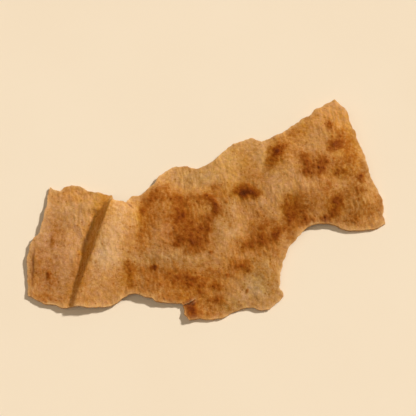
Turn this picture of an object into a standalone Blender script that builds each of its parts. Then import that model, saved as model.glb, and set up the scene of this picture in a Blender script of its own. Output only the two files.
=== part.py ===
"""One broken piece of carasau flatbread: a thin, crisp, oven-dry sheet with a torn outline, toasted side up.

The sheet is one solid, broken off all round. A pleat baked into the dough crosses it near the left end, the
rest swells and dips as puffed bread does, and it touches the table in a few small flat spots.

Run it with: blender --background --python part.py
"""

import math

import bmesh
import bpy
from mathutils import Vector, geometry, noise

MM = 0.001  # the design below is in millimetres, and Blender works in metres

# Driving dimensions, mm
SHEET = 1.6  # thickness of the bread, square to its surface
RIM_STEP = 2.3  # distance between points along the broken edge
GRID_STEP = 3.4  # distance between points inside the sheet
CLEARANCE = 1.3  # height of the underside over the table where nothing else lifts it
PRESS = 0.5  # how softly the underside meets the table

# The broken edge, clockwise from the left end's upper corner. Each run is a smooth line through its (x, y) in
# mm, and the next run starts from a sharp corner.
EDGE_RUNS = {
    "top_of_left_end": [(-88, 15), (-83, 13), (-75.5, 16.3), (-67, 12.5), (-59, 10.4)],
    "notch_at_the_pleat": [(-52.7, 9), (-52, 5)],
    "top": [(-45, 4.5), (-42.5, 7.5), (-33.5, 12.5), (-26.5, 21), (-17, 28.3), (-2, 28.3)],
    "top_of_the_arm": [(13.5, 39.3), (24, 45.4), (35, 44), (50, 52), (64, 61.5)],
    "tip": [(75.8, 68.4), (80.5, 61.5)],
    "right": [(84.5, 52), (89.5, 39), (93, 23.7), (100.5, 8)],
    "arch": [(101, -7.5), (86, -11.2), (65, -7.2), (55, -11.5), (48, -19), (42.5, -29)],
    "lower_corner": [(39, -44.5), (41.5, -49), (32, -56.5), (21, -55.2)],
    "flap": [(8.5, -60.6), (-5, -62.2), (-11.5, -60.8)],
    "split": [(-13, -53.9)],
    "end_of_the_split": [(-7.3, -51), (-7.5, -50.3)],
    "bottom": [(-13.3, -53.1), (-26.5, -52), (-42, -47.4), (-53, -54), (-74.5, -55.4), (-89, -52)],
    "left": [(-98, -48), (-99, -32), (-98.5, -19.5)],
    "upper_left": [(-93, -12), (-92, -3.5)],
}
# How the edge strays from those lines, as (length, height) of its waves
BROKEN_WAVES = [(9.0, 1.0), (3.0, 0.7)]

# The pleat: its crest runs from the notch down to the bottom edge. The sheet drops steeply to the left of the
# crest, all but its top end, where it is low and comes down as a ramp. To the right it falls away gently.
CREST_TOP = Vector((-50.5, 9.6))
CREST_FOOT = Vector((-72.5, -55))
PLEAT_HEIGHT = (3.0, 6.2)  # at the pleat's two ends, and what its middle adds
PLEAT_DROP = (2.4, 4.2)  # width of the steep side, at the ends and added in the middle
RAMP_WIDTH = 15.0  # how much wider the ramp is than the steep side
RAMP_HEIGHT = 0.2  # how much of the added height the ramp has
RAMP_END = (0.04, 0.08)  # where the ramp gives way to the steep side, as shares of the crest
RAMP_SLANT = 0.014  # how much further down the ramp reaches for each mm left of the crest
PLEAT_SLOPE = 28.0  # width of the gentle side
PLEAT_LEAN = 0.42  # below 1, the pleat is highest above its middle

# Swellings of the sheet: centre x, y, half-widths along and across, turn in degrees, and height, mm
SWELLS = {
    "arm": (60, 24, 30, 21, 40, 8.0),
    "curled_tip": (79, 64, 18, 16, 60, 6.0),
    "belly": (-14, -8, 30, 26, 0, 2.6),
    "pale_bulge": (11, -9, 17, 6.5, 80, 2.4),
    "right_shoulder": (87, 3, 17, 12, 52, 4.6),
    "lower_shoulder": (29, -42, 14, 9, 50, 2.6),
    "left_end": (-82, -20, 26, 12, 78, 1.0),
    "left_lip": (-95, -33, 15, 2.4, 90, 1.5),
    "lower_edge": (-38, -40, 16, 10, 10, 1.8),
    "dark_blister": (20.5, 11, 7, 5, 0, 1.1),
    "arm_blister": (38.5, 33, 7, 5, 75, 1.0),
    "end_hollow": (70, 20, 8, 6, 20, -1.2),
}
# Where the sheet comes down to the table: the same six numbers
FEET = {
    "left_top": (-78, 13, 10, 9, 0, -4.2),
    "left_bottom": (-88, -42, 8, 8, 0, -4.2),
    "top": (-13, 20, 11, 7, 0, -5.2),
    "flap": (3, -55, 12, 6, 0, -4.6),
}
# Creases past which the sheet turns down, on the right of their way: from, to, and how steeply
TURNED_DOWN = {
    "right_corner": (Vector((79, -11)), Vector((99, 15)), 0.30),
    "lower_corner": (Vector((21, -56)), Vector((43, -31)), 0.26),
    "left_lip": (Vector((-95.5, -21)), Vector((-94.5, -50)), 0.35),
}
# The sheet's unevenness, as (length, height) of its waves
UNEVEN_WAVES = [(21.0, 1.5), (9.0, 0.5)]


def clamped(value):
    return min(1.0, max(0.0, value))


def waves(x, y, sizes, level):
    """A smooth random height, from waves of the given lengths and heights."""
    return sum(h * noise.noise(Vector((x / l, y / l, level + k))) for k, (l, h) in enumerate(sizes))


def mound(x, y, centre_x, centre_y, along, across, turn, height):
    """A Gaussian hill, or a hollow if its height is negative."""
    c, s = math.cos(math.radians(turn)), math.sin(math.radians(turn))
    dx, dy = x - centre_x, y - centre_y
    u, v = (dx * c + dy * s) / along, (dy * c - dx * s) / across
    return height * math.exp(-(u * u + v * v))


def pleat_profile(s, left=0.0):
    """Height of the pleat and width of its left side. s is the share of its way down from the notch, and left
    is the distance to the left of its crest.
    """
    bell = math.sin(math.pi * clamped(s) ** PLEAT_LEAN)
    ramp = 1 - clamped((s - RAMP_SLANT * left - RAMP_END[0]) / (RAMP_END[1] - RAMP_END[0]))
    height = PLEAT_HEIGHT[0] + PLEAT_HEIGHT[1] * bell * (1 - ramp * (1 - RAMP_HEIGHT))
    return height, PLEAT_DROP[0] + PLEAT_DROP[1] * bell + RAMP_WIDTH * ramp


def pleat(x, y):
    way = CREST_FOOT - CREST_TOP
    offset = Vector((x, y)) - CREST_TOP
    right = way.cross(offset) / way.length
    height, drop = pleat_profile(offset.dot(way) / way.length_squared, max(0.0, -right))
    if right < 0:
        return height * clamped(1 + right / drop) ** 1.4
    return height * (1 - clamped(right / PLEAT_SLOPE)) ** 1.5


def turned_down(x, y, start, end, steepness):
    way = end - start
    beyond = (Vector((x, y)) - start).cross(way) / way.length
    return -steepness * max(0.0, beyond)


def underside(x, y):
    """Height of the sheet's underside over the table, in mm, and 0 where it touches."""
    z = CLEARANCE + pleat(x, y) + waves(x, y, UNEVEN_WAVES, 3.7)
    z += sum(mound(x, y, *hill) for hill in (*SWELLS.values(), *FEET.values()))
    z += sum(turned_down(x, y, *bend) for bend in TURNED_DOWN.values())
    return z if z > PRESS else max(0.0, z + PRESS) ** 2 / (4 * PRESS)


def topside(x, y):
    """The underside raised by the sheet's thickness, which is measured square to its slope."""
    d = 0.25 * GRID_STEP
    slope_x = (underside(x + d, y) - underside(x - d, y)) / (2 * d)
    slope_y = (underside(x, y + d) - underside(x, y - d)) / (2 * d)
    return underside(x, y) + SHEET * math.sqrt(1 + slope_x**2 + slope_y**2)


def smooth_line(points, step):
    """Points about step apart on a smooth line through the given ones, without its last point."""
    line, last = [], len(points) - 1
    for i in range(last):
        a, b, c, d = (points[k] for k in (max(i - 1, 0), i, i + 1, min(i + 2, last)))
        pieces = max(1, round((c - b).length / step))
        for k in range(pieces):
            t = k / pieces
            squared, cubed = 2 * a - 5 * b + 4 * c - d, 3 * b - a - 3 * c + d
            line.append((2 * b + (c - a) * t + squared * t**2 + cubed * t**3) / 2)
    return line


def broken_edge():
    """The closed edge: its runs end to end, each point then moved a little, as a dry edge crumbles."""
    runs = [[Vector(point) for point in run] for run in EDGE_RUNS.values()]
    edge = []
    for run, following in zip(runs, runs[1:] + runs[:1]):
        edge += smooth_line(run + following[:1], RIM_STEP)
    return [p + Vector([waves(p.x, p.y, BROKEN_WAVES, level) for level in (5.3, 15.3)]) for p in edge]


def is_inside(point, edge, margin):
    """True if the point is inside the edge and at least margin away from each of its points."""
    crossings = 0
    for a, b in zip(edge, edge[1:] + edge[:1]):
        if (a.y > point.y) != (b.y > point.y):
            crossings += point.x < a.x + (point.y - a.y) / (b.y - a.y) * (b.x - a.x)
    return crossings % 2 == 1 and all((point - p).length > margin for p in edge)


def crease_lines(edge):
    """The pleat's crest and the foot of its steep side, as rows of points kept just inside the edge."""
    way = CREST_FOOT - CREST_TOP
    leftwards = Vector((way.y, -way.x)).normalized()
    shares = [k / round(way.length / GRID_STEP) for k in range(round(way.length / GRID_STEP) + 1)]
    crest = [CREST_TOP + s * way for s in shares]
    foot = [p + leftwards * pleat_profile(s)[1] for p, s in zip(crest, shares)]
    return [[p for p in line if is_inside(p, edge, 0.5 * RIM_STEP)] for line in (crest, foot)]


def grid_points(edge, lines):
    """A triangular grid that fills the edge, leaving out what would crowd it or the crease lines."""
    low = Vector((min(p.x for p in edge), min(p.y for p in edge)))
    high = Vector((max(p.x for p in edge), max(p.y for p in edge)))
    row_height = GRID_STEP * math.sqrt(3) / 2
    found = []
    for row in range(round((high.y - low.y) / row_height)):
        for column in range(round((high.x - low.x) / GRID_STEP) + 1):
            point = low + Vector(((column + 0.5 * (row % 2)) * GRID_STEP, (row + 0.5) * row_height))
            clear = all((point - p).length > 0.6 * GRID_STEP for line in lines for p in line)
            if clear and is_inside(point, edge, 0.55 * GRID_STEP):
                found.append(point)
    return found


def plan():
    """The sheet seen from above: its points and its triangles."""
    edge = broken_edge()
    lines = crease_lines(edge)
    points, segments = list(edge), [(i, (i + 1) % len(edge)) for i in range(len(edge))]
    for line in lines:
        segments += [(i, i + 1) for i in range(len(points), len(points) + len(line) - 1)]
        points += line
    points += grid_points(edge, lines)
    inside_only = 1
    made = geometry.delaunay_2d_cdt(points, segments, [], inside_only, 1e-5)
    return made[0], made[2]


def toasted_bread():
    material = bpy.data.materials.new("toasted_bread")
    material.use_nodes = True
    shader = material.node_tree.nodes["Principled BSDF"]
    shader.inputs["Base Color"].default_value = (0.56, 0.32, 0.13, 1)
    shader.inputs["Roughness"].default_value = 0.85
    shader.inputs["Metallic"].default_value = 0.0
    return material


def carasau_sheet():
    """The solid: the plan drawn flat, extruded, and its two sides lifted to the underside and the topside."""
    points, triangles = plan()
    middle_x = (min(p.x for p in points) + max(p.x for p in points)) / 2
    middle_y = (min(p.y for p in points) + max(p.y for p in points)) / 2
    bm = bmesh.new()
    below = [bm.verts.new((p.x, p.y, 0)) for p in points]
    for corners in triangles:
        bm.faces.new([below[i] for i in corners])
    extruded = bmesh.ops.extrude_face_region(bm, geom=bm.faces[:], use_keep_orig=True)
    above = [part for part in extruded["geom"] if isinstance(part, bmesh.types.BMVert)]
    for height, verts in ((underside, below), (topside, above)):
        for vert in verts:
            x, y = vert.co.x, vert.co.y
            vert.co = Vector((x - middle_x, y - middle_y, height(x, y))) * MM
    bmesh.ops.recalc_face_normals(bm, faces=bm.faces[:])
    mesh = bpy.data.meshes.new("carasau_sheet")
    bm.to_mesh(mesh)
    bm.free()
    mesh.materials.append(toasted_bread())
    mesh.shade_smooth()
    mesh.set_sharp_from_angle(angle=math.radians(40))
    bpy.context.scene.collection.objects.link(bpy.data.objects.new("carasau_sheet", mesh))


for obj in list(bpy.data.objects):
    bpy.data.objects.remove(obj)
carasau_sheet()
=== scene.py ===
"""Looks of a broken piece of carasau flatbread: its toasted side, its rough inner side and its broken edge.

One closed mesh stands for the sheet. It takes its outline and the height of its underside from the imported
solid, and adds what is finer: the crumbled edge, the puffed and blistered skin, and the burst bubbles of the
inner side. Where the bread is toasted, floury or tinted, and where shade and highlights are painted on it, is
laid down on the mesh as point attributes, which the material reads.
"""

import math

import bmesh
import bpy
import numpy as np
from mathutils import Matrix, Vector, geometry, kdtree, noise
from mathutils.bvhtree import BVHTree


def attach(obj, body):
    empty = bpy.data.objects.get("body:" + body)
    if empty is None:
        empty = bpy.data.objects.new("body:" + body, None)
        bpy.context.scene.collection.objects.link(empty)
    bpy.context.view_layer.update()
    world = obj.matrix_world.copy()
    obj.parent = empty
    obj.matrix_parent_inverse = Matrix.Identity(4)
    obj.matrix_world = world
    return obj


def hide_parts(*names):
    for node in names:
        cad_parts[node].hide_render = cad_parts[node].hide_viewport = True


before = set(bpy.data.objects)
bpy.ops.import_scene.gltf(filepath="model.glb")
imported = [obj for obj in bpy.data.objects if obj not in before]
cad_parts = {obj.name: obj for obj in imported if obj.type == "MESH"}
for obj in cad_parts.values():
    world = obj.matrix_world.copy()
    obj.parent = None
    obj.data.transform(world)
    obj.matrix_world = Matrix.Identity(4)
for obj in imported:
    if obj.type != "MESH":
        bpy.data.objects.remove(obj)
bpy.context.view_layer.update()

MM = 0.001  # the design below is in millimetres, in the frame's axes
NODE = "carasau_sheet"

# The sheet and its points, mm. Waves, here and below, are given as (length, size)
SHEET = 1.6  # thickness of the bread, square to its surface
THICKNESS_WAVES = [(12.0, 0.22)]  # how it varies
LEAST_THICKNESS = 0.75
TOASTED_STEP = 0.52  # distance between points on the toasted side
INNER_STEP = 0.82  # the same on the inner side
EDGE_STEP = 0.46  # the same along the broken edge
EDGE_CLEARANCE = 0.62  # how far inside the edge the other points begin, as a share of their distance
SHARP_ANGLE = 50  # degrees, from which two faces meet in a sharp edge

# The height map of the solid's underside, mm
MAP_STEP = 0.5  # distance between its points
MAP_MARGIN = 8.0  # how far it reaches past the outline
BELOW_THE_TABLE = -1.0  # height from which the underside is looked for
CARRIED_BLUR = 1.0  # blur by which the heights are carried outwards, a little at a time
CARRIED_LEAST = 0.01  # share of known heights near a point that is enough for that
GENTLE_BLUR, CREASE_BLUR = 2.6, 0.9  # how far it is smoothed, away from creases and at them
CREASE_FROM, CREASE_FULL = 0.10, 0.40  # what the two differ by where a crease begins, and where it is full
CREASE_SPREAD = 1.0  # how far the creases' own map is smoothed

# The broken edge, mm
CRUMBLED = [(3.4, 0.26), (1.4, 0.18)]  # waves by which it strays from the solid's outline
CHIP_LENGTH, CHIP_DEPTH = 3.6, 1.4  # small pieces broken out of it
CHIP_FROM = 0.36  # value of the noise at which such a piece begins
PALE_EDGE_WIDTH = 0.85  # width of the paler skin along the edge, partly worn and partly a painted highlight
RIM_LEVELS = (0.0, 0.22, 0.5, 0.8, 1.0)  # heights of the rim's rows of points, as shares of the thickness
RIM_ROUGH, RIM_GRAIN = 0.34, 0.9  # how rough the broken face is, and how long its roughness is
RIM_ROUND = 0.13  # how far the face's upper and lower edge are set back
RIM_CALM = 0.6  # how much less rough they are, as a share

# The split beside the flap, mm and degrees. Its two sides touch, and the flap lies lower than the sheet
SPLIT_MOUTH, SPLIT_TURN, SPLIT_LENGTH = (-14.0, -56.5), 27.0, 7.1
SPLIT_BOW = 0.42  # how far it bends away from a straight line
SPLIT_SIDES = 0.45, 1.1  # how far from its middle the edge is drawn in, in full and at all
SPLIT_DRAWN_IN = 0.85  # by how much, as a share of the way
SPLIT_STARTS, SPLIT_STOPS = (-0.25, 0.0), (1.0, 1.15)  # where along it that fades in and out, in its lengths
SPLIT_DROP, SPLIT_REACH = 1.0, 6.0  # how much lower the flap is beside it, and how far from it
SPLIT_CLOSES = 0.1, 1.0  # where along it the flap comes back up, in its lengths

BASE_TOAST = 0.125  # how brown the bread is away from the spots, from 0 to 1
# Brown spots, by area, most of them toasting; those marked below are painted shade. Each is centre x
# and y, half-widths along and across, turn in degrees, and how brown it is, or how pale if negative
BROWN_SPOTS = {
    "left_end": [
        (-86.6, -20.6, 1.2, 3.6, 0, 0.42), (-86, -17, 2.6, 7.5, 0, 0.12), (-82.3, -14, 3.6, 8, 0, 0.20),
        (-84, -6.5, 5.5, 4, 0, 0.12), (-88, -39.5, 1.3, 1.8, 0, 0.60), (-87.5, -36.5, 3, 5, 0, 0.20),
        (-92, -41, 8, 14, 0, 0.20), (-85, -44, 4, 8, 0, 0.12), (-95.6, -13.6, 1.6, 0.9, -30, 0.60),
        (-88, -53, 9, 3, 0, 0.25), (-72, -36, 34, 24, 0, 0.07), (-76, -50, 20, 6, 0, 0.08),
        (-62, 2, 8, 5, -20, -0.14), (-93, -28, 3, 5, 0, 0.12), (-69.5, -37, 6, 8, 0, 0.12),
        (-62.5, -36, 3, 6, 0, 0.14), (-57, -31, 5, 6, 0, -0.12), (-50, -44, 5, 7, 0, 0.14),
        (-59.5, -11, 2.5, 7, -18, 0.14), (-51.5, -23, 4, 14, -10, -0.14), (-48.5, -33, 4, 5, 0, -0.12),
        (-46, -3, 3, 3, 0, -0.10), (-83, 5, 6, 3, 0, 0.08), (-73, -23, 3, 9, -15, -0.10),
        (-67, 2, 5, 5, 0, -0.10),
    ],
    "first_patch": [
        (-27, 7.5, 9.5, 5, -8, 0.40), (-31.5, 4, 4, 6.5, 0, 0.30), (-24.5, -2, 6.5, 7.5, 0, 0.22),
        (-36.3, -5, 3, 11.5, 0, 0.44), (-35.5, -19, 4.5, 7, 0, 0.34), (-24, 12, 4, 2.2, 0, 0.34),
        (-31, -7, 3.6, 5, 0, 0.30), (-39, -28, 5, 9, 0, 0.10), (-27, -26, 10, 5, 0, 0.11),
        (-33, 7, 3, 3, 0, 0.12), (-30, -10, 5, 3, 0, 0.10), (-28, 2, 3, 3, 0, -0.10),
        (-42, -20, 4, 7, 0, 0.10),
    ],
    "second_patch": [
        (-15.5, -6, 6, 11, 0, 0.62), (-7, -17, 9.5, 8.5, 0, 0.56), (-8, 4.5, 11, 4.8, 0, 0.34),
        (-7, -4, 5, 6, 0, 0.24), (4, -0.5, 2.6, 5.5, 5, 0.70), (0.5, 5, 3.6, 2.6, -35, 0.42),
        (0, -9, 3, 5, 0, 0.42), (-3.5, -13, 3, 3, 0, 0.36), (-16.2, -20.5, 2.4, 2.6, 0, 0.55),
        (-18, -23.5, 2.4, 2, 0, 0.45), (-8, -21.5, 3, 3, 0, 0.30), (-1.6, -20, 2, 3, 0, 0.40),
        (-5, -26, 6, 2, 10, 0.38), (1.3, -27.2, 1.6, 1.3, 0, 0.60), (-15, -4.5, 2.4, 2.4, 0, 0.20),
        (-14, 0.5, 1.8, 1.4, 0, 0.30), (-21, -18, 4.5, 5.5, 0, 0.28), (-12, -23, 5, 5, 0, 0.16),
        (3, -5, 3, 5, 0, 0.30), (-18, 2, 3, 3, 0, -0.12), (-14, -32, 6, 9, 0, 0.12),
        (-3, -14, 4, 6, 0, 0.10), (2, 3, 4, 3, 0, 0.12),
    ],
    "beside_it": [
        (5.5, 10.5, 4.5, 3.5, 0, 0.32), (4, 13.5, 2.6, 2, 0, 0.12), (10, 4.5, 4, 4, 0, 0.22),
        (9, -3, 3.5, 7, 0, 0.32), (13, -10, 2.5, 4, 0, 0.20), (19, -2, 6, 7, 0, 0.08),
        (-8, 17, 3, 5, 0, 0.12), (0, -15, 60, 35, 0, 0.05), (2, 20, 6, 6, 0, -0.10),
        (2, 12, 3, 3, 0, -0.08), (9, 30, 5, 4, 0, -0.10), (22, 30, 4, 5, 0, 0.13), (26, -11, 4, 3, 0, 0.12),
        (18, -22, 6, 6, 0, 0.12),
    ],
    "dark_blister": [
        (20.2, 7.9, 4.6, 3.9, 0, 0.82), (20.8, 7.8, 2, 1.5, 0, 0.60), (26.4, 6.9, 3.6, 3.3, 0, 0.60),
        (21.5, 8.2, 7, 6.5, 0, 0.38), (15.5, 9, 2.6, 3, 0, 0.24), (24, 19, 6, 6, 0, 0.26),
        (29, -6, 5, 6, 0, 0.24), (32, 16, 3, 4, 0, 0.14), (30.5, 0, 3, 7, 0, -0.10),
    ],
    "arm_blister": [
        (40, 32.5, 6.4, 4.5, 66, 0.64), (40.3, 33, 2.6, 1.8, 66, 0.28), (36.8, 26.5, 4.4, 3.6, 60, 0.40),
        (35.2, 22.5, 3, 2.6, 0, 0.14), (45, 36, 2.6, 2.4, 0, 0.36), (43, 41, 4, 2.5, 0, 0.16),
        (49, 31, 3.5, 8, 0, 0.14), (32, 30, 3, 7, 0, -0.26),
    ],
    "arm_patch": [
        (54, 28, 3, 4, 0, 0.56), (57.5, 23, 5, 5, 0, 0.50), (62.5, 21.5, 4.6, 4.2, 0, 0.50),
        (66.5, 25, 3.2, 4, 0, 0.46), (57, 18, 6, 2.8, -10, 0.44), (64.5, 21.5, 1.8, 1.6, 0, 0.28),
        (61, 29.5, 5, 2.5, 0, 0.24), (75, 19.5, 7, 2.6, 8, 0.34), (74, 26, 6, 4, 0, 0.30),
        (67, 12, 5, 5, 0, 0.30), (77, 14, 4, 5, 0, -0.26), (43, 10, 5, 5, 0, -0.12),
        (56, 36, 5, 4, 0, 0.12), (67, 36, 4, 4, 0, 0.12), (46.5, 20, 3, 3, 0, -0.08),
    ],
    "tip": [
        (74, 37.2, 4, 3.4, -15, 0.70), (70.5, 33.5, 3, 2.2, 35, 0.46), (78, 41, 3, 3.4, 0, 0.34),
        (79, 35, 4, 3, 0, 0.28), (71, 48.5, 2.5, 3.8, 0, 0.54), (76, 44, 4, 4, 0, 0.20),
        (52, 44, 5, 4, 0, 0.26), (79, 54, 6, 8, 0, -0.26), (70, 57.5, 8, 4, 35, -0.14),
    ],
    # painted shade in this area: (80, 12) in part, on the arm's right part, and (95, 1), on the right corner;
    # the rest is toasting
    "rim": [
        (86.5, 16.8, 2.8, 3.2, 0, 0.62), (86, 10.5, 3.6, 3.4, 0, 0.30), (83, 29.5, 4, 4.4, 0, 0.30),
        (89.5, 23, 1.6, 3, 20, 0.20), (82.5, 39.5, 2.4, 3, 0, 0.24), (80, 12, 12, 22, 0, 0.30),
        (95, 1, 6, 12, -35, 0.30), (84, 0, 6, 6, 0, 0.16), (78, 26, 4, 5, 0, -0.14),
    ],
    "arm_end": [
        (72.6, 1.8, 4, 4.6, 0, 0.60), (70.8, -3.6, 3.2, 3.4, 20, 0.44), (66, -7.5, 3, 2.8, 0, 0.52),
        (76.5, 6, 4, 2.6, 0, 0.26), (71.5, 3, 1.2, 1.4, 0, 0.30), (57, 2, 12, 9, 0, 0.24),
        # painted shade: (82, -8), on the right corner
        (70, -9, 5, 2.5, 0, 0.12), (82, -8, 5, 4, 0, 0.30), (77, -2, 4, 5, 0, 0.16), (66, 2, 4, 4, 0, 0.10),
        (53, 1, 3, 2, 0, -0.12), (71.5, 7.5, 3, 3, 0, -0.18),
    ],
    "arch": [
        (50, -2.5, 7.5, 6, -20, 0.46), (46, -6.5, 3.4, 3.6, 0, 0.42), (43.5, -0.5, 2.6, 4.2, 0, 0.28),
        (54, -7.5, 4.4, 3.4, 0, 0.32), (47.5, 4, 5, 3.6, 0, 0.26), (56, -9.5, 9, 2.4, 15, 0.36),
        (36, -10, 5, 3, 0, 0.34), (46, -16, 4, 7, 0, 0.40), (42, -8, 3, 3, 0, 0.18),
    ],
    "third_patch": [
        (29, -17.5, 6.5, 5.6, 20, 0.46), (22, -23.2, 5.6, 3.4, 8, 0.44), (37.5, -16.3, 3.4, 4, 0, 0.50),
        (33, -20.5, 6, 4, 0, 0.26), (36.5, -17.5, 1.2, 1.3, 0, 0.45), (41, -13, 4, 2.5, 20, 0.32),
        (30, -27, 8, 3.5, 0, 0.24), (38, -25, 4, 4, 0, 0.20), (29, -12, 5, 3, 0, 0.16),
    ],
    "lower_middle": [
        (-25, -42, 19, 10, 0, 0.38), (3, -38, 11, 7, 0, 0.30), (14, -32, 14, 6, 0, 0.18),
        (19.5, -36, 6.5, 4.4, 5, 0.40), (11, -40.5, 2.2, 1.4, -15, 0.40), (-44.2, -36, 2.8, 4, 0, 0.54),
        (-43, -43.5, 2.4, 5, 0, 0.30), (-29.8, -36, 1.6, 1.7, 0, 0.65), (-29.4, -36.6, 3.6, 3.4, 0, 0.36),
        (-13.5, -42, 5.6, 5, -20, 0.44), (-6, -45, 8, 4.8, 0, 0.34), (4.5, -46, 4, 2.6, 0, 0.42),
        (-4.8, -49.6, 1.8, 1, 0, 0.50), (-27.6, -55.7, 1.1, 0.9, 0, 0.70), (29, -38, 6, 8, 0, 0.16),
        (7, -34, 4, 5, 0, -0.30), (12, -47, 5, 4, 0, 0.14), (-3, -48, 5, 3, 0, 0.20),
        (-20, -53, 7, 3, 0, 0.18),
    ],
    "flap": [
        (-9.2, -58.6, 1.8, 4.2, 12, 0.66), (-9, -58, 4.4, 6.5, 0, 0.48), (-10.5, -56.2, 3, 2.4, 20, 0.36),
        (3, -53.4, 5, 3.4, 0, 0.42), (0, -60, 6, 3.6, 0, 0.28), (20.8, -49.2, 0.9, 1.5, -20, 0.55),
        # painted shade: (37, -50) and (35, -40), on the lower corner
        (18.5, -47, 1.3, 1.1, -40, 0.30), (37, -50, 5, 8, 0, 0.12), (35, -40, 6, 12, 0, 0.18),
        (-5, -54, 18, 4, 0, 0.26), (13, -59, 9, 4, 0, 0.26), (22, -49, 5, 5, 0, -0.16),
        (12, -53, 5, 4, 0, -0.12), (-10, -62, 8, 4, 0, 0.20), (26, -55, 7, 4, 0, 0.14),
    ],
    "top_edge": [
        (-12, 25.5, 13, 2.5, 0, 0.20),
    ],
}
# Where the colour leans to gold or, if negative, to beige, and where to red or, if negative, to olive. Each
# is centre x and y, half-widths along and across, turn in degrees, how golden and how red
TINTED = {
    "left_end": (-86, -22, 14, 32, 0, -0.75, -0.15),
    "left_olive": (-80, -5, 10, 8, 0, -0.2, -0.5),
    "top_left": (-72, 8, 14, 5, 0, 1.0, 0.6),
    # painted half-shade: a warm gold tint for the dim light on the pleat's ramp
    "pleat_ramp_half_shade": (-60, -1, 6, 8, 0, 1.6, 0.7),
    # painted shade: the warm orange colour of the shadow in the pleat's valley
    "pleat_valley_shade": (-66, -24, 33, 4.2, 73, 2.3, 1.3),
    "beside_pleat": (-60.5, -33, 5, 12, -10, -1.0, -0.7),
    "ridge": (-52, -14, 7, 22, -15, -0.4, -0.5),
    "left_of_first_patch": (-38, -8, 4, 12, 0, 1.1, 0.1),
    "first_patch": (-28, 0, 12, 16, 0, 0.4, 0.3),
    "between_the_patches": (-23, -14, 5, 8, 0, 0.2, 0.8),
    "second_patch": (-11, -4, 12, 14, 0, 0.8, 0.2),
    "above_second_patch": (4, 8, 10, 5, 0, 0.9, 0.5),
    "top_beige": (-8, 18, 12, 6, 0, -0.3, -0.7),
    "top_gold": (14, 28, 14, 14, 0, 0.5, -0.2),
    "pale_bulge": (12, -9, 6, 14, 0, -0.8, -0.8),
    "dark_blister": (19, 9, 8, 6, 0, 1.6, 0.1),
    "below_first_patch": (-26, -31, 24, 6, 0, -0.9, -0.9),
    "left_orange": (-44.3, -42, 4, 9, 0, 1.6, 0.4),
    "lower_patch": (-8, -46, 20, 7, 0, 1.0, 0.4),
    "flap": (-11, -57, 6, 6, 0, 2.2, 0.7),
    "flap_end": (12, -57, 8, 4, 0, -0.6, -1.0),
    # partly painted shade: the beige and olive hue of the shade on the lower corner, and partly the bread's
    # own tone
    "lower_right_partly_shade": (31, -43, 11, 14, 0, -1.0, -1.4),
    "middle_orange": (17, -36, 8, 6, 0, 1.2, 0.6),
    "third_patch": (28.6, -19, 14, 8, 15, 0.7, 0.3),
    "arm_blister": (38, 30, 6, 10, -20, 1.7, 0.5),
    "arm": (52, 28, 14, 12, 0, 0.4, 0.3),
    "top_of_the_arm": (54, 46, 12, 6, 35, 1.2, 0.7),
    "tip": (74, 54, 12, 12, 0, 1.0, 0.9),
    "rim": (82, 35, 8, 16, 20, 1.8, 0.7),
    "beside_the_rim": (75, 20, 6, 4, 0, 1.5, -0.2),
    "right_corner": (87, 4, 9, 12, 0, -0.2, -0.6),
    "arch": (46.5, -1, 6, 8, 0, 1.9, 0.4),
    "arm_end": (72, 0, 5, 6, 0, 1.6, 0.2),
}
# Where the skin is palest and most floury. Each is centre x and y, half-widths along and across, turn in
# degrees, and how floury
FLOURY = {
    "ridge": (-54.4, -15.1, 9, 26, -18, 1.0),
    "notch": (-53, 1, 5, 5, 0, 1.0),
    "tip": (75, 56, 9, 7, -40, 0.9),
    "rim": (82, 38, 4, 16, 20, 0.8),
    "pale_bulge": (10.6, -11.1, 6.5, 14, 8, 0.6),
    "top": (-5.4, 18.9, 13, 5, 0, 0.4),
    "arm": (62.6, 10.9, 13, 6, 20, 0.5),
    "arm_top": (64.6, 38.9, 10, 7, 30, 0.3),
    "below_patch_2": (-21.4, -30.1, 12, 5, 0, 0.4),
    "right": (86.6, 0.9, 7, 7, 0, 0.3),
}
# Waves by which spots, wrinkles and burst bubbles stray from their plain shapes
SPOT_WARP = [(9.0, 1.4), (4.2, 1.2), (1.8, 0.7)]
WARPED_SIZE = 4.0  # half-width under which a toasted spot strays less
SPOT_EDGE = 1.25  # above 1, a spot is flatter inside and ends sooner
SPOT_FROM, SPOT_FULL = 0.15, 0.60  # browning from which a place is in a spot, and is fully in it
MOTTLE = [(5.5, 0.11), (2.9, 0.11), (1.5, 0.06)]  # uneven browning, as (length, how much browner)
MOTTLE_BETWEEN, MOTTLE_INSIDE = 0.45, 1.0  # the share of it between the spots, and inside them
BLISTER_TOAST = 0.22  # how much browner the fine blisters' tops are, inside the spots
BLISTER_MIDDLE = 0.3  # height, from 0 to 1, at which they are as brown as the rest

# Relief of the toasted side, mm
SKIN_WAVES = [(14.0, 0.45), (6.5, 0.26), (3.2, 0.18)]
SKIN_GRAIN = [(1.9, 0.13), (1.1, 0.06)]
SPOT_PUFF = 0.55  # how far a brown spot is puffed up
PUFF_FROM, PUFF_FULL = 0.25, 0.95  # browning at which that begins, and at which it is full
BLISTER_WIDTH, BLISTER_HEIGHT = 2.5, 0.24  # fine blisters
PIMPLE_WIDTH, PIMPLE_HEIGHT = 1.5, 0.13  # finer ones
WRINKLE_WIDTH, WRINKLE_LENGTH, WRINKLE_HEIGHT = 1.5, 5.0, 0.20  # the skin's fine wrinkles
WRINKLE_TURN = 98  # their direction, degrees
WRINKLED_AREA = 17.0  # size of the areas where the skin is wrinkled, and of those where it isn't
WRINKLED_FROM, WRINKLED_FULL = -0.35, 0.35  # value of the noise where such an area begins, and is full
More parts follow.
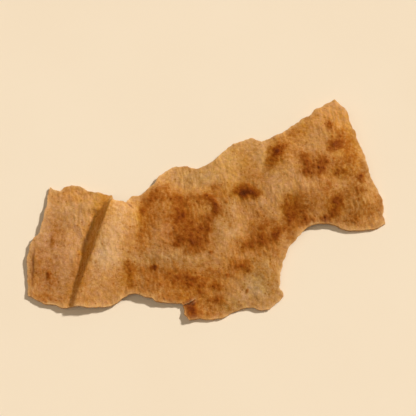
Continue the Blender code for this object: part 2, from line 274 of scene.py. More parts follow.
# Cracks and grooves: from, to, and half-width
GROOVES = {
    "crack_at_the_notch": ((-46, 1.9), (-41, -2.9), 0.45),
    "lip": ((-96.6, -21.1), (-96.8, -51.1), 0.55),
}
GROOVE_DEPTH = 0.4
GROOVE_WAVE, GROOVE_STRAY = 2.5, 0.5  # length and size of the waves in which they run
GROOVE_END = 0.05  # last share of a groove at each end, where it gets no shallower

# Relief of the inner side, mm
INNER_WAVES = [(9.0, 0.30), (3.4, 0.26), (1.8, 0.24)]
BURST_BUBBLES = [(7.5, 0.50), (3.4, 0.46)]  # width and depth

# Bubbles and blisters of any size
BUBBLE_RADIUS = 0.6  # as a share of the distance between them
BUBBLE_VARIETY = 3.7  # how much the noise that sets their heights changes from one to the next

# Level at which the noise is read for each use, as its patterns differ from level to level
LEVELS = {
    "edge_x": 2.3,
    "edge_y": 12.3,
    "chips": 31.7,
    "spots": 40.5,
    "tint": 44.5,
    "flour": 46.5,
    "mottle": 50.5,
    "groove_x": 60.5,
    "groove_y": 61.5,
    "wrinkled_area": 66.5,
    "wrinkle_warp": 70.5,
    "wrinkles": 71.5,
    "skin_waves": 72.5,
    "skin_grain": 78.5,
    "blisters": 80.5,
    "pimples": 84.5,
    "inner_waves": 90.5,
    "burst_warp": 91.5,
    "burst_bubbles": 92.5,
    "rim": 100.5,
    "thickness": 110.5,
}
WARP_LEVELS = 20  # from the level of a warp's x to that of its y
RIM_ROW_LEVELS = 1.7  # from the level of one row of the rim to the next


def clamped(values, low=0.0, high=1.0):
    return np.minimum(np.maximum(values, low), high)


def eased(values, start, end):
    """0 before start, 1 after end, and smooth between them."""
    t = clamped((values - start) / (end - start))
    return t * t * (3 - 2 * t)


def noise_at(xy, length, level):
    """Smooth noise, about -1 to 1, whose waves have the given length."""
    return np.array([noise.noise((x, y, level)) for x, y in (xy / length).tolist()])


def waves(xy, sizes, level):
    """Noise of several lengths, added up, each times its size."""
    return sum(size * noise_at(xy, length, level + k) for k, (length, size) in enumerate(sizes))


def turned(xy, degrees):
    """Coordinates along and across a direction."""
    c, s = math.cos(math.radians(degrees)), math.sin(math.radians(degrees))
    return np.stack([xy[:, 0] * c + xy[:, 1] * s, xy[:, 1] * c - xy[:, 0] * s], axis=1)


def bubbles(xy, width, level):
    """Round bumps of uneven height, 0 to 1, about width apart."""
    heights = np.empty(len(xy))
    for i, (x, y) in enumerate((xy / width).tolist()):
        distances, centres = noise.voronoi((x, y, level))
        size = 0.5 + 0.5 * noise.noise(centres[0] * BUBBLE_VARIETY)
        heights[i] = size * max(0.0, 1 - (distances[0] / BUBBLE_RADIUS) ** 2)
    return heights


# --- The solid's shape, as an outline and a height map ---


def solid_in_mm():
    """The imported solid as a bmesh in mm, its points merged as they were before it was exported."""
    bm = bmesh.new()
    bm.from_mesh(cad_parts[NODE].data)
    bmesh.ops.scale(bm, vec=(1 / MM, 1 / MM, 1 / MM), verts=bm.verts[:])
    bmesh.ops.remove_doubles(bm, verts=bm.verts[:], dist=0.01)
    bm.normal_update()
    return bm


def solid_outline(bm):
    """The (x, y) of the rim's lower points in order, counter-clockwise."""
    upright = 0.05  # a face whose normal rises or falls by less than this is part of the rim
    after = {}
    for edge in bm.edges:
        slants = [face.normal.z for face in edge.link_faces]
        if min(slants) < -upright and abs(max(slants)) < upright:
            a, b = edge.verts
            after.setdefault(a, []).append(b)
            after.setdefault(b, []).append(a)
    start = next(iter(after))
    loop, previous, vert = [], None, start
    while vert is not start or not loop:
        loop.append((vert.co.x, vert.co.y))
        onward = [v for v in after[vert] if v is not previous]
        previous, vert = vert, onward[0]
    loop = np.array(loop)
    following = np.roll(loop, -1, axis=0)
    area = (loop[:, 0] * following[:, 1] - following[:, 0] * loop[:, 1]).sum() / 2
    return loop if area > 0 else loop[::-1]


def blurred(values, sigma):
    """A Gaussian blur of a map, sigma in mm."""
    reach = math.ceil(3 * sigma / MAP_STEP)
    weights = np.exp(-0.5 * (np.arange(-reach, reach + 1) * MAP_STEP / sigma) ** 2)
    weights /= weights.sum()
    for axis in (0, 1):
        width = values.shape[axis]
        padded = np.pad(values, [(reach, reach) if a == axis else (0, 0) for a in (0, 1)], mode="edge")
        values = sum(w * padded.take(range(k, k + width), axis) for k, w in enumerate(weights))
    return values


class HeightMap:
    """Height of the smoothed underside over the table, and its slope, at any place."""

    def __init__(self, bm, outline):
        self.low = outline.min(axis=0) - MAP_MARGIN
        columns, rows = np.ceil((outline.max(axis=0) + MAP_MARGIN - self.low) / MAP_STEP).astype(int) + 1
        tree = BVHTree.FromBMesh(bm)
        heights = np.full((rows, columns), np.nan)
        for row in range(rows):
            for column in range(columns):
                x, y = self.low + MAP_STEP * np.array([column, row])
                hit = tree.ray_cast((x, y, BELOW_THE_TABLE), (0, 0, 1))[0]
                if hit is not None:
                    heights[row, column] = hit.z
        heights = self.carried_outwards(heights)
        gentle, creased = blurred(heights, GENTLE_BLUR), blurred(heights, CREASE_BLUR)
        crease = blurred(eased(np.abs(gentle - creased), CREASE_FROM, CREASE_FULL), CREASE_SPREAD)
        self.heights = gentle + (creased - gentle) * crease
        self.slopes = np.gradient(self.heights, MAP_STEP)

    @staticmethod
    def carried_outwards(heights):
        """The map, with the heights at the solid's edge carried out over the places beyond it."""
        known = ~np.isnan(heights)
        heights = np.where(known, heights, 0)
        while not known.all():
            share = blurred(known.astype(float), CARRIED_BLUR)
            reached = ~known & (share > CARRIED_LEAST)
            carried = blurred(heights * known, CARRIED_BLUR) / np.maximum(share, CARRIED_LEAST)
            heights = np.where(reached, carried, heights)
            known |= reached
        return heights

    def read(self, values, xy):
        """The map's values at places, evened out between its points."""
        cells = (xy - self.low) / MAP_STEP
        limit = np.array(values.shape[::-1]) - 2
        corner = np.minimum(np.maximum(np.floor(cells).astype(int), 0), limit)
        (u, v), (i, j) = (cells - corner).T, corner.T
        lower = values[j, i] * (1 - u) + values[j, i + 1] * u
        upper = values[j + 1, i] * (1 - u) + values[j + 1, i + 1] * u
        return lower * (1 - v) + upper * v

    def underside(self, xy):
        return np.maximum(self.read(self.heights, xy), 0)

    def steepness(self, xy):
        """What the thickness grows by upright, for it to stay the same square to the slope."""
        slope_y, slope_x = (self.read(slope, xy) for slope in self.slopes)
        return np.sqrt(1 + slope_x**2 + slope_y**2)


# --- The plan: broken edge, split, and points inside ---


def outward(loop):
    """Unit vectors out of a counter-clockwise loop."""
    way = np.roll(loop, -1, axis=0) - np.roll(loop, 1, axis=0)
    way /= np.linalg.norm(way, axis=1)[:, None]
    return np.stack([way[:, 1], -way[:, 0]], axis=1)


def smooth_loop(points):
    """Points EDGE_STEP apart on a smooth closed line through the given ones."""
    line = []
    count = len(points)
    for i in range(count):
        a, b, c, d = (points[(i + k) % count] for k in (-1, 0, 1, 2))
        pieces = max(1, round(np.linalg.norm(c - b) / EDGE_STEP))
        for k in range(pieces):
            t = k / pieces
            squared, cubed = 2 * a - 5 * b + 4 * c - d, 3 * b - a - 3 * c + d
            line.append((2 * b + (c - a) * t + squared * t**2 + cubed * t**3) / 2)
    return np.array(line)


def across_the_split(xy):
    """Share of the way along the split, and distance from its middle, above 0 on the side of the sheet."""
    along, across = turned(xy - SPLIT_MOUTH, SPLIT_TURN).T
    share = along / SPLIT_LENGTH
    return share, across + SPLIT_BOW * np.sin(np.pi * clamped(share))


def near_the_split(xy):
    """1 at the split, and 0 away from it."""
    share, across = across_the_split(xy)
    beside = 1 - eased(np.abs(across), *SPLIT_SIDES)
    return beside * eased(share, *SPLIT_STARTS) * (1 - eased(share, *SPLIT_STOPS))


def split_drawn_in(edge):
    """The edge, with the two sides of the split drawn together."""
    way = math.radians(SPLIT_TURN)
    shift = -across_the_split(edge)[1] * SPLIT_DRAWN_IN * near_the_split(edge)
    return edge + shift[:, None] * (-math.sin(way), math.cos(way))


def flap_drop(xy):
    """How much lower than the solid the flap lies beside the split."""
    share, across = across_the_split(xy)
    fading = np.exp(-((across / SPLIT_REACH) ** 2)) * (1 - eased(share, *SPLIT_CLOSES))
    return SPLIT_DROP * (across < 0) * fading


def broken_edge(outline):
    """The outline with its fine teeth, and small pieces broken out of it."""
    edge = smooth_loop(outline)
    strays = np.stack([waves(edge, CRUMBLED, LEVELS[axis]) for axis in ("edge_x", "edge_y")], axis=1)
    chips = clamped(noise_at(edge, CHIP_LENGTH, LEVELS["chips"]) - CHIP_FROM)
    return split_drawn_in(edge + strays - outward(edge) * (CHIP_DEPTH * chips)[:, None])


def rim_rows(edge):
    """The plan of the broken face's rows of points, from the inner side to the toasted side."""
    away = outward(edge)
    split = near_the_split(edge)
    rows = []
    for row, level in enumerate(RIM_LEVELS):
        corner = abs(2 * level - 1) ** 3  # 1 at the face's upper and lower edge, and 0 halfway up
        grain = noise_at(edge, RIM_GRAIN, LEVELS["rim"] + RIM_ROW_LEVELS * row)
        rough = RIM_ROUGH * (1 - RIM_CALM * corner) * grain * (1 - split)
        rows.append(edge + away * (rough - RIM_ROUND * corner)[:, None])
    return rows


def inside(xy, edge):
    """Which points are inside the closed edge."""
    found = np.zeros(len(xy), bool)
    for (ax, ay), (bx, by) in zip(edge, np.roll(edge, -1, axis=0)):
        rows = (xy[:, 1] > ay) != (xy[:, 1] > by)
        if rows.any():
            found[rows] ^= xy[rows, 0] < ax + (xy[rows, 1] - ay) / (by - ay) * (bx - ax)
    return found


def distance_to(edge, xy):
    """How far each place is from the nearest of the edge's points."""
    tree = kdtree.KDTree(len(edge))
    for i, (x, y) in enumerate(edge):
        tree.insert((x, y, 0), i)
    tree.balance()
    return np.array([tree.find((x, y, 0))[2] for x, y in xy.tolist()])


def grid_inside(edge, step):
    """A triangular grid that fills the edge."""
    low, size = edge.min(axis=0), np.ptp(edge, axis=0)
    row_height = step * math.sqrt(3) / 2
    column_count, row_count = round(size[0] / step) + 1, round(size[1] / row_height) + 1
    columns, rows = np.meshgrid(np.arange(column_count), np.arange(row_count))
    x, y = low[0] + (columns + 0.5 * (rows % 2)) * step, low[1] + rows * row_height
    xy = np.stack([x, y], axis=-1).reshape(-1, 2)
    xy = xy[inside(xy, edge)]
    return xy[distance_to(edge, xy) > EDGE_CLEARANCE * step]


def filled(edge, step):
    """The plan of one side: its points, the edge's first, and its triangles."""
    xy = np.concatenate([edge, grid_inside(edge, step)])
    segments = [(i, (i + 1) % len(edge)) for i in range(len(edge))]
    inside_only, same_point = 1, 1e-6
    made = geometry.delaunay_2d_cdt([Vector(p) for p in xy.tolist()], segments, [], inside_only, same_point)
    return np.array([tuple(p) for p in made[0]]), made[2]


# --- Finish: how brown, tinted and floury the bread is at each place ---


def spot(xy, x, y, along, across, turn, strength):
    """A soft round spot: strength at its centre, and about a third of that at its half-widths."""
    uv = turned(xy - (x, y), turn) / (along, across)
    return strength * np.exp(-((uv**2).sum(axis=1) ** SPOT_EDGE))


def spot_sum(xy, spots):
    """The sum of spots, each the six numbers of a spot."""
    return sum(spot(xy, *six) for six in spots)


def stray(xy, level):
    """How far places are moved about, so that spots read there have uneven outlines."""
    return np.stack([waves(xy, SPOT_WARP, level), waves(xy, SPOT_WARP, level + WARP_LEVELS)], axis=1)


def fine_blisters(xy):
    return bubbles(xy, BLISTER_WIDTH, LEVELS["blisters"])


def toast_at(xy):
    """How brown the bread is, 0 to 1, from toasting, and from painted shade on the arm's right part and at
    the corners. Spots that overlap add up without going past 1.
    """
    strays = stray(xy, LEVELS["spots"])
    pale = np.full(len(xy), 1 - BASE_TOAST)
    for area in BROWN_SPOTS.values():
        for six in area:
            share_moved = min(1.0, min(six[2:4]) / WARPED_SIZE)
            pale *= 1 - spot(xy + share_moved * strays, *six)
    inside_spots = eased(1 - pale, SPOT_FROM, SPOT_FULL)
    mottle_share = MOTTLE_BETWEEN + (MOTTLE_INSIDE - MOTTLE_BETWEEN) * inside_spots
    tops = (fine_blisters(xy) - BLISTER_MIDDLE) * BLISTER_TOAST * inside_spots
    return clamped(1 - pale + mottle_share * waves(xy, MOTTLE, LEVELS["mottle"]) + tops)


def wrinkled_at(xy):
    """0 where the skin is smooth, and 1 where its fine wrinkles are deepest."""
    return eased(noise_at(xy, WRINKLED_AREA, LEVELS["wrinkled_area"]), WRINKLED_FROM, WRINKLED_FULL)


def groove_at(xy):
    """0 off the grooves, and 1 along their middle."""
    deepest = np.zeros(len(xy))
    waved = [noise_at(xy, GROOVE_WAVE, LEVELS[axis]) for axis in ("groove_x", "groove_y")]
    strays = xy + np.stack(waved, axis=1) * GROOVE_STRAY
    for start, end, half_width in GROOVES.values():
        start, way = np.array(start), np.subtract(end, start)
        share = clamped(((strays - start) @ way) / (way @ way))
        away = np.linalg.norm(strays - start - share[:, None] * way, axis=1)
        depth = np.sin(np.pi * clamped(share, GROOVE_END, 1 - GROOVE_END))
        deepest = np.maximum(deepest, np.exp(-((away / half_width) ** 2)) * depth)
    return deepest


def burst_at(xy):
    """How deep the hollows of burst bubbles are on the inner side."""
    moved, level = xy + stray(xy, LEVELS["burst_warp"]), LEVELS["burst_bubbles"]
    return sum(depth * bubbles(moved, width, level + width) for width, depth in BURST_BUBBLES)


def finish_at(xy, edge, side, broken):
    """What the material reads, by name: on the toasted side, side is 1, and on the rim, broken is 1."""
    tinted_xy = xy + stray(xy, LEVELS["tint"])
    near_edge = np.exp(-distance_to(edge, xy) / PALE_EDGE_WIDTH)
    on_the_flap = across_the_split(xy)[1] < 0
    return {
        "toast": toast_at(xy),
        "golden": spot_sum(tinted_xy, [(*place, golden) for *place, golden, _ in TINTED.values()]),
        "red": spot_sum(tinted_xy, [(*place, red) for *place, _, red in TINTED.values()]),
        "flour": spot_sum(xy + stray(xy, LEVELS["flour"]), FLOURY.values()),
        # where the grooves' painted shade goes
        "groove": groove_at(xy) * side,
        "toasted_side": side,
        "broken": broken,
        # where the edge is painted paler, for wear and partly as a highlight
        "near_edge": near_edge * (1 - near_the_split(xy) * on_the_flap),
        "wrinkled": wrinkled_at(xy),
        "burst": burst_at(xy) * (1 - side),
    }


# --- The two sides' heights ---


def skin_relief(xy):
    """Height of the toasted side over the plain sheet."""
    warped = turned(xy + stray(xy, LEVELS["wrinkle_warp"]), WRINKLE_TURN)
    wrinkles = noise_at(warped / (WRINKLE_LENGTH, WRINKLE_WIDTH), 1.0, LEVELS["wrinkles"]) * wrinkled_at(xy)
    relief = waves(xy, SKIN_WAVES, LEVELS["skin_waves"]) + waves(xy, SKIN_GRAIN, LEVELS["skin_grain"])
    relief += WRINKLE_HEIGHT * wrinkles
    pimples = bubbles(xy, PIMPLE_WIDTH, LEVELS["pimples"])
    relief += BLISTER_HEIGHT * fine_blisters(xy) + PIMPLE_HEIGHT * pimples
    relief += SPOT_PUFF * eased(toast_at(xy), PUFF_FROM, PUFF_FULL)
    return relief - GROOVE_DEPTH * groove_at(xy)


def inner_relief(xy):
    """Height of the inner side over the plain sheet, whose hollows reach up into it."""
    return waves(xy, INNER_WAVES, LEVELS["inner_waves"]) + burst_at(xy)


def inner_height(solid, xy):
    return np.maximum(solid.underside(xy) + np.maximum(inner_relief(xy), 0) - flap_drop(xy), 0)


def toasted_height(solid, xy):
    thickness = SHEET + waves(xy, THICKNESS_WAVES, LEVELS["thickness"])
    plain = solid.underside(xy) + thickness * solid.steepness(xy)
    height = plain + skin_relief(xy) - flap_drop(xy)
    return np.maximum(height, inner_height(solid, xy) + LEAST_THICKNESS)


# --- The mesh ---


def sheet_mesh():
    """The sheet as one closed mesh: the inner side, the rim's rows and the toasted side, in that order."""
    bm = solid_in_mm()
    outline = solid_outline(bm)
    solid = HeightMap(bm, outline)
    bm.free()
    edge = broken_edge(outline)
    count = len(edge)
    rows = rim_rows(edge)
    inner_xy, inner_triangles = filled(rows[0], INNER_STEP)
    toasted_xy, toasted_triangles = filled(rows[-1], TOASTED_STEP)
    inner_z, toasted_z = inner_height(solid, inner_xy), toasted_height(solid, toasted_xy)

    points = [np.column_stack([inner_xy, inner_z])]
    for level, row in zip(RIM_LEVELS[1:-1], rows[1:-1]):
        z = inner_z[:count] * (1 - level) + toasted_z[:count] * level
        points.append(np.column_stack([row, z]))
    points.append(np.column_stack([toasted_xy, toasted_z]))
    starts = np.cumsum([0] + [len(p) for p in points])
    rim_start, toasted_start = starts[1], starts[-2]
    points = np.concatenate(points)

    faces = [tuple(reversed(face)) for face in inner_triangles]
    for low, high in zip(starts[:-2], starts[1:-1]):
        for i in range(count):
            k = (i + 1) % count
            faces.append((low + i, low + k, high + k, high + i))
    faces += [tuple(toasted_start + i for i in face) for face in toasted_triangles]
    mesh = bpy.data.meshes.new("carasau_bread")
    mesh.from_pydata((points * MM).tolist(), [], faces)
    mesh.update()

    side, broken = np.zeros(len(points)), np.zeros(len(points))
    side[toasted_start:] = 1
    broken[rim_start:toasted_start] = 1
    for name, values in finish_at(points[:, :2], edge, side, broken).items():
        layer = mesh.attributes.new(name, "FLOAT", "POINT")
        layer.data.foreach_set("value", values.astype(np.float32))
    mesh.shade_smooth()
    mesh.set_sharp_from_angle(angle=math.radians(SHARP_ANGLE))
    return mesh


# --- Material ---

# Textures, mm: the length of their waves, or the distance between their pores and pits
GRAIN, SPECKS, LUMPS, PATCHES, TINT_GRAIN = 1.1, 0.55, 1.7, 5.0, 2.6
STREAKS, STREAK_STRETCH = 1.3, 3.2  # width of the skin's streaks, and how many times longer they are
PORES, PITS = 3.4, 1.3
NOISE_LOW, NOISE_HIGH = 0.3, 0.7  # what nearly all values of a noise texture lie between

# The toasted side: how much browner its textures make it
GRAIN_TOAST = 0.25, 0.40  # the grain, between the spots and inside them
GRAIN_GROWS = 0.1, 0.6  # browning between which it grows from the one to the other
SPECK_TOAST, FLECK_TOAST, PORE_TOAST = 0.20, -0.30, 0.20
PORE_SIZE = 0.10, 0.20  # radius at which a pore begins to fade, and ends, as shares of their distance
TOAST_COLOURS = [
    (0.00, (216, 166, 111)),
    (0.15, (199, 146, 87)),
    (0.30, (181, 124, 63)),
    (0.45, (162, 99, 33)),
    (0.62, (140, 74, 10)),
    (0.80, (117, 53, 5)),
    (1.00, (74, 29, 1)),
]

# Tints, as what they multiply the colour by
GOLD, BEIGE = (1, 1, 0.40, 1), (1, 1, 1.8, 1)
RED, OLIVE = (1.14, 0.86, 1, 1), (0.86, 1.15, 1, 1)
NO_TINT = (1, 1, 1, 1)
TINT_FULL = 2.0  # how golden or red a place is where it has the whole tint
TINT_UNEVEN = 0.7  # how much more or less golden its grains are

# Flour: a bloom of flecks, thinner where the bread is brown
FLOUR_COLOUR = (232, 190, 134)
FLOUR_FLECKS = 0.47, 0.68  # value of the flecks' noise where a pale one begins, and where it is full
FLOUR_PATCHES = 0.35, 1.0  # share of the flour where a patch of it is thinnest, and thickest
FLOUR_EVERYWHERE, FLOUR_MORE = 0.20, 0.40  # how much there is at least, and how much more in a floury spot
FLOUR_ENDS = 0.15, 0.65  # browning where there begins to be less, and where there is least
FLOUR_LEFT = 0.10  # the share that is left there

# The edge, paler from wear and partly a painted highlight, and the grooves' painted shade
PALE_EDGE_COLOUR = (240, 202, 146)
PALE_EDGE_NOISE = 0.35, 0.65  # value of the patches' noise where the edge is least pale, and most
PALE_EDGE_SHARE = 0.15, 0.65  # how much of the pale edge colour shows there
# painted shade in the grooves: its colour, and how much of it shows along their middle
GROOVE_SHADE_COLOUR, GROOVE_SHADE_SHARE = (120, 66, 26), 0.7

# The inner side: how much browner it is made by the toast, its hollows, the grain and the specks
INNER_TOAST, HOLLOW_TOAST = 0.45, 0.45
INNER_GRAIN, INNER_SPECKS = (-0.15, 0.35), (-0.12, 0.12)
INNER_COLOURS = [
    (0.00, (228, 192, 146)),
    (0.45, (208, 162, 110)),
    (0.80, (170, 114, 62)),
    (1.00, (122, 69, 30)),
]

# The broken face
CRUMB_TOAST = 0.5  # how much darker it is where the bread is toasted
CRUMB_COLOURS = [  # from dark to pale
    (0.00, (166, 112, 60)),
    (0.50, (196, 146, 88)),
    (1.00, (220, 178, 124)),
]

# Surface
ROUGHNESS = 0.70, 0.92  # where the grain is low, and where it is high
ROUGHNESS_TOASTED = -0.16  # what toasting adds to it
SPECULAR = 0.07
SCATTER_SHARE, SCATTER_DEPTH = 0.08, 1.2  # light that enters the bread, and how deep, mm
SCATTER_COLOURS = (1.0, 0.5, 0.2)  # share of that depth that red, green and blue light reach
BUMP_STRENGTH, BUMP_HEIGHT = 0.8, 0.30  # height in mm
GRAIN_BUMP, SPECK_BUMP, FLECK_BUMP = 0.9, 0.45, 0.4
PIT_BUMP = 0.8, 0.12  # on the inner side and the rim, and on the toasted side
PIT_RADIUS = 0.5  # as a share of their distance


def linear(red, green, blue):
    """A colour given as 0 to 255 on a screen, as the shader needs it."""
    return (*(((c / 255 + 0.055) / 1.055) ** 2.4 if c > 10 else c / 3294 for c in (red, green, blue)), 1)


class Nodes:
    """Short ways to add nodes to a material."""

    def __init__(self, name):
        self.material = bpy.data.materials.new(name)
        self.material.use_nodes = True
        self.tree = self.material.node_tree
        self.shader = self.tree.nodes["Principled BSDF"]
        self.place = self.add("ShaderNodeTexCoord").outputs["Object"]

    def add(self, kind, **settings):
        made = self.tree.nodes.new(kind)
        for name, value in settings.items():
            setattr(made, name, value)
        return made

    def feed(self, socket, value):
        """Links another node's output to the socket, or sets a plain value on it."""
        if isinstance(value, bpy.types.NodeSocket):
            self.tree.links.new(value, socket)
        else:
            socket.default_value = value

    def attribute(self, name):
        return self.add("ShaderNodeAttribute", attribute_name=name).outputs["Fac"]

    def math(self, operation, a, b):
        made = self.add("ShaderNodeMath", operation=operation)
        for socket, value in zip(made.inputs, (a, b)):
            self.feed(socket, value)
        return made.outputs[0]

    def times(self, a, b):
        return self.math("MULTIPLY", a, b)

    def total(self, *values):
        added, *others = values
        for value in others:
            added = self.math("ADD", added, value)
        return added

    def swing(self, noise_value, amount):
        """Noise of 0 to 1, moved to lie about 0, times amount."""
        return self.times(self.math("SUBTRACT", noise_value, 0.5), amount)

    def scaled(self, value, low, high, to_low=0.0, to_high=1.0):
        """value, with low to high stretched to the new range and cut there."""
        made = self.add("ShaderNodeMapRange")
        given = {"Value": value, "From Min": low, "From Max": high, "To Min": to_low, "To Max": to_high}
        for name, one in given.items():
            self.feed(made.inputs[name], one)
        return made.outputs["Result"]

    def spread(self, noise_value, to_low=0.0, to_high=1.0):
        """Noise, with nearly all its values stretched to the new range, and the rest cut there."""
        return self.scaled(noise_value, NOISE_LOW, NOISE_HIGH, to_low, to_high)

    def noise(self, length, detail=2.0, roughness=0.5, place=None):
        """Noise, 0 to 1, whose waves have the given length in mm."""
        made = self.add("ShaderNodeTexNoise")
        self.feed(made.inputs["Vector"], place or self.place)
        for name, value in {"Scale": 1 / (length * MM), "Detail": detail, "Roughness": roughness}.items():
            made.inputs[name].default_value = value
        return made.outputs["Fac"]

    def stretched(self, length, turn):
        """The place, for a texture that is stretched along one direction of the plan."""
        made = self.add("ShaderNodeMapping", vector_type="TEXTURE")
        self.feed(made.inputs["Vector"], self.place)
        made.inputs["Rotation"].default_value = (0, 0, math.radians(turn))
        made.inputs["Scale"].default_value = (length, 1, 1)
        return made.outputs["Vector"]

    def cells(self, width):
        """Distance from the nearest of scattered points that are about width apart, as a share of width."""
        made = self.add("ShaderNodeTexVoronoi")
        self.feed(made.inputs["Vector"], self.place)
        made.inputs["Scale"].default_value = 1 / (width * MM)
        return made.outputs["Distance"]

    def mix(self, share, a, b, blend="MIX"):
        """Colour a where share is 0, and b, or a times b, where it is 1."""
        made = self.add("ShaderNodeMix", data_type="RGBA", blend_type=blend)
        share_socket, a_socket, b_socket = made.inputs[0], made.inputs[6], made.inputs[7]
        for socket, value in ((share_socket, share), (a_socket, a), (b_socket, b)):
            self.feed(socket, value)
        return made.outputs[2]

    def leaning(self, colour, value, above, below):
        """The colour, with the tint above where value is over 0, and the tint below where it is under 0."""
        more = self.mix(self.scaled(value, 0.0, TINT_FULL), NO_TINT, above)
        less = self.mix(self.scaled(value, 0.0, -TINT_FULL), NO_TINT, below)
        return self.mix(1.0, self.mix(1.0, colour, more, "MULTIPLY"), less, "MULTIPLY")

    def ramp(self, value, stops):
        """Colour by value, from stops of (position, colour given as 0 to 255)."""
        made = self.add("ShaderNodeValToRGB")
        self.feed(made.inputs[0], value)
        elements = made.color_ramp.elements
        while len(elements) < len(stops):
            elements.new(0.5)
        for element, (position, colour) in zip(elements, stops):
            element.position = position
            element.color = linear(*colour)
        return made.outputs["Color"]


def browned(nodes, toast, grain, specks, flecks):
    """The toasted side by how brown it is. The spots are grainy inside, and the skin between them less so."""
    grainy = nodes.swing(grain, nodes.scaled(toast, *GRAIN_GROWS, *GRAIN_TOAST))
    speckled, flecked = nodes.swing(specks, SPECK_TOAST), nodes.swing(flecks, FLECK_TOAST)
    pores = nodes.scaled(nodes.cells(PORES), *PORE_SIZE, PORE_TOAST, 0.0)
    return nodes.ramp(nodes.total(toast, grainy, speckled, flecked, pores), TOAST_COLOURS)


def tinted(nodes, skin):
    """The skin between gold and beige, unevenly from grain to grain, and between red and olive."""
    uneven = nodes.spread(nodes.noise(TINT_GRAIN, detail=3.0), -TINT_UNEVEN, TINT_UNEVEN)
    skin = nodes.leaning(skin, nodes.total(nodes.attribute("golden"), uneven), above=GOLD, below=BEIGE)
    return nodes.leaning(skin, nodes.attribute("red"), above=RED, below=OLIVE)


def floured(nodes, skin, toast, flecks, patches):
    """The skin with pale streaks and flecks of flour on it, least where it is brown."""
    bloom = nodes.times(nodes.scaled(flecks, *FLOUR_FLECKS), nodes.spread(patches, *FLOUR_PATCHES))
    amount = nodes.total(nodes.times(nodes.attribute("flour"), FLOUR_MORE), FLOUR_EVERYWHERE)
    amount = nodes.times(amount, nodes.scaled(toast, *FLOUR_ENDS, 1.0, FLOUR_LEFT))
    return nodes.mix(nodes.times(bloom, amount), skin, linear(*FLOUR_COLOUR))


def pale_edge_and_groove_shade(nodes, skin, patches):
    """The skin with its edge paler, from wear and partly as a painted highlight, and painted shade in its
    grooves.
    """
    edge_paleness = nodes.times(nodes.attribute("near_edge"), nodes.scaled(patches, *PALE_EDGE_NOISE, *PALE_EDGE_SHARE))
    skin = nodes.mix(edge_paleness, skin, linear(*PALE_EDGE_COLOUR))
    return nodes.mix(nodes.times(nodes.attribute("groove"), GROOVE_SHADE_SHARE), skin, linear(*GROOVE_SHADE_COLOUR))


def inner_colour(nodes, toast, grain, specks):
    """The inner side, which is paler, and browner in its hollows."""
    toasted, hollow = nodes.times(toast, INNER_TOAST), nodes.times(nodes.attribute("burst"), HOLLOW_TOAST)
    grainy, speckled = nodes.spread(grain, *INNER_GRAIN), nodes.spread(specks, *INNER_SPECKS)
    return nodes.ramp(nodes.total(toasted, grainy, hollow, speckled), INNER_COLOURS)


def crumb_colour(nodes, toast, grain):
    """The broken face, which is darker where the bread is toasted."""
    paleness = nodes.math("SUBTRACT", nodes.spread(grain), nodes.times(toast, CRUMB_TOAST))
    return nodes.ramp(paleness, CRUMB_COLOURS)


def add_bump(nodes, side, grain, specks, flecks):
    """Relief that is too fine for the mesh. Its pits are deeper on the inner side and the rim."""
    pits, pit_bump = nodes.scaled(nodes.cells(PITS), 0.0, PIT_RADIUS), nodes.scaled(side, 0.0, 1.0, *PIT_BUMP)
    textures = ((grain, GRAIN_BUMP), (specks, SPECK_BUMP), (flecks, FLECK_BUMP), (pits, pit_bump))
    height = nodes.total(*(nodes.times(texture, amount) for texture, amount in textures))
    bump = nodes.add("ShaderNodeBump")
    bump.inputs["Strength"].default_value = BUMP_STRENGTH
    bump.inputs["Distance"].default_value = BUMP_HEIGHT * MM
    nodes.feed(bump.inputs["Height"], height)
    nodes.feed(nodes.shader.inputs["Normal"], bump.outputs["Normal"])


def bread_material():
    nodes = Nodes("toasted_bread")
    toast, side, broken = (nodes.attribute(name) for name in ("toast", "toasted_side", "broken"))
    grain = nodes.noise(GRAIN, detail=3.0, roughness=0.6)
    specks = nodes.noise(SPECKS, roughness=0.6)
    patches = nodes.noise(PATCHES, detail=3.0, roughness=0.55)
    # The flecks are round where the skin is smooth, and drawn out into streaks where it is wrinkled
    lumps = nodes.noise(LUMPS, roughness=0.55)
    streaks = nodes.noise(STREAKS, roughness=0.55, place=nodes.stretched(STREAK_STRETCH, WRINKLE_TURN))
    flecks = nodes.scaled(nodes.attribute("wrinkled"), 0.0, 1.0, lumps, streaks)

    skin = tinted(nodes, browned(nodes, toast, grain, specks, flecks))
    skin = pale_edge_and_groove_shade(nodes, floured(nodes, skin, toast, flecks, patches), patches)
    inner, crumb = inner_colour(nodes, toast, grain, specks), crumb_colour(nodes, toast, grain)
    nodes.feed(nodes.shader.inputs["Base Color"], nodes.mix(broken, nodes.mix(side, inner, skin), crumb))

    rough = nodes.total(nodes.spread(grain, *ROUGHNESS), nodes.times(toast, ROUGHNESS_TOASTED))
    nodes.feed(nodes.shader.inputs["Roughness"], rough)
    nodes.shader.inputs["Specular IOR Level"].default_value = SPECULAR
    nodes.shader.inputs["Subsurface Weight"].default_value = SCATTER_SHARE
    nodes.shader.inputs["Subsurface Radius"].default_value = SCATTER_COLOURS
    nodes.shader.inputs["Subsurface Scale"].default_value = SCATTER_DEPTH * MM
    add_bump(nodes, side, grain, specks, flecks)
    return nodes.material


# --- Stage ---

CAMERA_AT = Vector((-19.9, -183.5, 518.8)) * MM  # where the photo was taken from, over the piece
CAMERA_AIM = Vector((0, -1, 4)) * MM  # about the middle of the piece
CAMERA_LENS = 84.0
CAMERA_NEAR, CAMERA_FAR = 0.01, 20.0  # m
FLOOR_SIZE = 40.0  # m
FLOOR_PATCHES = 90.0  # length of its faint shades, mm
FLOOR_COLOURS = [(0.0, (244, 232, 214)), (1.0, (248, 238, 222))]
SKY = [(0.06, (0.90, 0.74, 0.54)), (0.25, (0.20, 0.162, 0.118))]  # (upward share of a direction, its light)


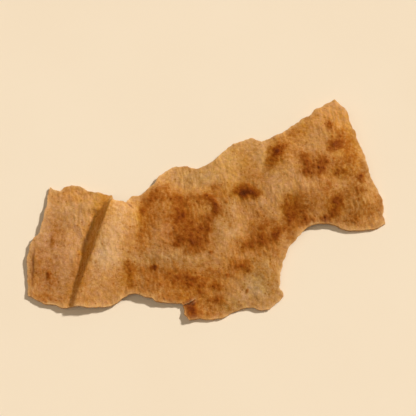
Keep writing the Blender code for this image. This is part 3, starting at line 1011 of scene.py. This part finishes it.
def camera():
    data = bpy.data.cameras.new("camera")
    data.lens = CAMERA_LENS
    data.clip_start, data.clip_end = CAMERA_NEAR, CAMERA_FAR
    made = bpy.data.objects.new("camera", data)
    back = (CAMERA_AT - CAMERA_AIM).normalized()
    right = Vector((1, 0, 0))
    right = (right - right.dot(back) * back).normalized()
    up = back.cross(right)
    made.matrix_world = Matrix.Translation(CAMERA_AT) @ Matrix((right, up, back)).transposed().to_4x4()
    bpy.context.scene.collection.objects.link(made)
    bpy.context.scene.camera = made


def lamp(name, azimuth, elevation, spread, strength, colour):
    """A lamp so far off that it lights the floor evenly. Azimuth is counted from +X towards +Y."""
    data = bpy.data.lights.new(name, "SUN")
    data.angle, data.energy, data.color = math.radians(spread), strength, colour
    made = bpy.data.objects.new(name, data)
    a, e = math.radians(azimuth), math.radians(elevation)
    way = Vector((math.cos(a) * math.cos(e), math.sin(a) * math.cos(e), math.sin(e)))
    made.location = way
    made.rotation_euler = way.to_track_quat("Z", "Y").to_euler()
    bpy.context.scene.collection.objects.link(made)


def world_light(colours):
    """Light from all round, by the upward share of the direction that it comes from."""
    world = bpy.data.worlds.new("world")
    world.use_nodes = True
    tree = world.node_tree
    direction = tree.nodes.new("ShaderNodeTexCoord").outputs["Generated"]
    parts = tree.nodes.new("ShaderNodeSeparateXYZ")
    ramp = tree.nodes.new("ShaderNodeValToRGB")
    for element, (upward, colour) in zip(ramp.color_ramp.elements, colours):
        element.position, element.color = upward, (*colour, 1)
    tree.links.new(direction, parts.inputs[0])
    tree.links.new(parts.outputs["Z"], ramp.inputs[0])
    tree.links.new(ramp.outputs["Color"], tree.nodes["Background"].inputs["Color"])
    bpy.context.scene.world = world


def floor():
    nodes = Nodes("floor")
    shades = nodes.ramp(nodes.noise(FLOOR_PATCHES, detail=3.0), FLOOR_COLOURS)
    nodes.feed(nodes.shader.inputs["Base Color"], shades)
    nodes.shader.inputs["Roughness"].default_value = 0.9
    bpy.ops.mesh.primitive_plane_add(size=FLOOR_SIZE, location=(0, 0, 0))
    made = bpy.context.object
    made.name = "floor"
    made.data.materials.append(nodes.material)


camera()
floor()
lamp("key", azimuth=32, elevation=36, spread=5.3, strength=3.52, colour=(1.0, 0.93, 0.82))
lamp("fill", azimuth=200, elevation=62, spread=46, strength=0.42, colour=(1.0, 0.85, 0.65))
world_light(SKY)
bpy.context.scene.view_settings.view_transform = "Standard"

bread = bpy.data.objects.new("carasau_bread", sheet_mesh())
bread.data.materials.append(bread_material())
bpy.context.scene.collection.objects.link(bread)
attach(bread, "root")
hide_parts(NODE)
